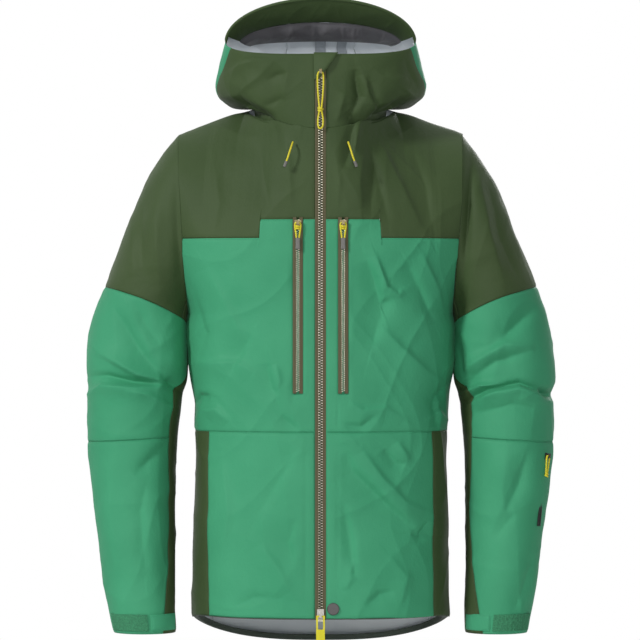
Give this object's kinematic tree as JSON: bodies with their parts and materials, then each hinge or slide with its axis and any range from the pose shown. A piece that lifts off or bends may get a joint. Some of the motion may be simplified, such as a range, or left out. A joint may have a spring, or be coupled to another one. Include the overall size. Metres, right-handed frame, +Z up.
{
  "type": "hardshell jacket",
  "caption": "Hooded waterproof shell jacket with front zip, chest pocket zips, sleeve pocket, strap cuffs and dropped back hem.",
  "frame": {"origin": "inside of the hang loop at the back of the neck, where the peg bears", "axes": "+Z up, front towards -Y, the wearer's left towards +X"},
  "size_m": [0.6658, 0.2838, 0.917],
  "materials": {
    "emerald_cloth": "three-layer laminate, matt woven face",
    "olive_cloth": "three-layer laminate, matt woven face",
    "grey_facing": "thin brushed tricot",
    "hem_facing_cloth": "thin woven facing",
    "pale_lining": "laminate's pale inner face",
    "zip_tape": "coated woven zip tape",
    "zip_teeth": "moulded teeth with a metallic sheen",
    "slider_metal": "die-cast, satin plated",
    "yellow_cord": "braided polyester cord and webbing",
    "grey_grip": "moulded soft plastic",
    "black_zip": "coated zip tape and coil",
    "hook_loop": "hook and loop tape",
    "snap_metal": "enamelled snap cap"
  },
  "bodies": {
    "jacket": {"front_panel_left": "emerald_cloth", "front_panel_right": "emerald_cloth", "chest_panel_left": "emerald_cloth", "chest_panel_right": "emerald_cloth", "side_panel_left": "olive_cloth", "side_panel_right": "olive_cloth", "front_yoke_left": "olive_cloth", "front_yoke_right": "olive_cloth", "upper_sleeve_left": "olive_cloth", "upper_sleeve_right": "olive_cloth", "mid_sleeve_left": "emerald_cloth", "mid_sleeve_right": "emerald_cloth", "forearm_left": "emerald_cloth", "forearm_right": "emerald_cloth", "under_sleeve_left": "olive_cloth", "under_sleeve_right": "olive_cloth", "collar_left": "olive_cloth", "collar_right": "olive_cloth", "main_zip_teeth_left": "zip_teeth", "main_zip_teeth_right": "zip_teeth", "back_panel": "emerald_cloth", "back_yoke": "olive_cloth", "collar_back": "olive_cloth", "neck_lining": "pale_lining", "hem_facing": "hem_facing_cloth", "wind_flap": "grey_facing", "main_zip_tapes": "zip_tape", "zip_bottom_stop": "zip_teeth", "chest_zip_tapes": "zip_tape", "chest_zip_teeth": "zip_teeth", "chest_pocket_bags": "grey_facing", "sleeve_zip": "black_zip", "cuff_loop_patches": "hook_loop", "zip_garage": "olive_cloth", "snap_cap": "snap_metal", "hang_loop": "olive_cloth", "hood_cord_left": "yellow_cord", "hood_cord_right": "yellow_cord", "hood_cord_tips": "grey_grip"},
    "hood": {"hood_side_panel_left": "emerald_cloth", "hood_side_panel_right": "emerald_cloth", "hood_centre_panel": "olive_cloth", "hood_brim": "olive_cloth", "hood_facing": "grey_facing"},
    "main_slider": {"main_slider": "slider_metal"},
    "main_pull": {"main_pull_cord": "yellow_cord", "main_pull_knot": "yellow_cord"},
    "bottom_slider": {"bottom_slider": "slider_metal"},
    "bottom_pull": {"bottom_pull_tab": "yellow_cord"},
    "chest_slider_left": {"chest_slider_left": "slider_metal"},
    "chest_slider_right": {"chest_slider_right": "slider_metal"},
    "chest_pull_left": {"chest_pull_cord_left": "yellow_cord", "chest_pull_grip_left": "grey_grip"},
    "chest_pull_right": {"chest_pull_cord_right": "yellow_cord", "chest_pull_grip_right": "grey_grip"},
    "sleeve_slider": {"sleeve_slider": "slider_metal"},
    "sleeve_pull": {"sleeve_pull_cord": "yellow_cord"},
    "cuff_tab_left": {"cuff_tab_left": "hook_loop"},
    "cuff_tab_right": {"cuff_tab_right": "hook_loop"}
  },
  "joints": [
    {"name": "main_zip", "type": "slide", "parent": "jacket", "child": "main_slider", "axis": [0, -0.038, -0.9993], "range_m": [0, 0.5]},
    {"name": "main_pull_swing", "type": "hinge", "parent": "main_slider", "child": "main_pull", "pos_m": [0, -0.19276, 0.01829], "axis": [-1, 0, 0], "range_deg": [0, 100]},
    {"name": "bottom_zip", "type": "slide", "parent": "jacket", "child": "bottom_slider", "axis": [0, 0.038, 0.9993], "range_m": [0, 0.16]},
    {"name": "bottom_pull_swing", "type": "hinge", "parent": "bottom_slider", "child": "bottom_pull", "pos_m": [0, -0.22097, -0.73714], "axis": [-1, 0, 0], "range_deg": [0, 100]},
    {"name": "chest_zip_left", "type": "slide", "parent": "jacket", "child": "chest_slider_left", "axis": [0, -0.038, -0.9993], "range_m": [0, 0.22]},
    {"name": "chest_zip_right", "type": "slide", "parent": "jacket", "child": "chest_slider_right", "axis": [0, -0.038, -0.9993], "range_m": [0, 0.22]},
    {"name": "chest_pull_left_swing", "type": "hinge", "parent": "chest_slider_left", "child": "chest_pull_left", "pos_m": [0.0315, -0.20075, -0.19171], "axis": [-1, 0, 0], "range_deg": [0, 100]},
    {"name": "chest_pull_right_swing", "type": "hinge", "parent": "chest_slider_right", "child": "chest_pull_right", "pos_m": [-0.0315, -0.20075, -0.19171], "axis": [-1, 0, 0], "range_deg": [0, 100]},
    {"name": "sleeve_zip_run", "type": "slide", "parent": "jacket", "child": "sleeve_slider", "axis": [-0.0974, -0.0516, -0.9939], "range_m": [0, 0.09]},
    {"name": "sleeve_pull_swing", "type": "hinge", "parent": "sleeve_slider", "child": "sleeve_pull", "pos_m": [0.32114, -0.12347, -0.51866], "axis": [-0.5585, -0.8237, 0.0975], "range_deg": [0, 100]},
    {"name": "cuff_tab_left_peel", "type": "hinge", "parent": "jacket", "child": "cuff_tab_left", "pos_m": [0.20619, -0.11561, -0.7405], "axis": [-0.0242, -0.0636, -0.9977], "range_deg": [0, 60]},
    {"name": "cuff_tab_right_peel", "type": "hinge", "parent": "jacket", "child": "cuff_tab_right", "pos_m": [-0.20619, -0.11561, -0.7405], "axis": [-0.0242, 0.0636, 0.9977], "range_deg": [0, 60]},
    {"name": "hood_tip_back", "type": "hinge", "parent": "jacket", "child": "hood", "pos_m": [0, 0.047, 0.0105], "axis": [-1, 0, 0], "range_deg": [0, 30]}
  ]
}
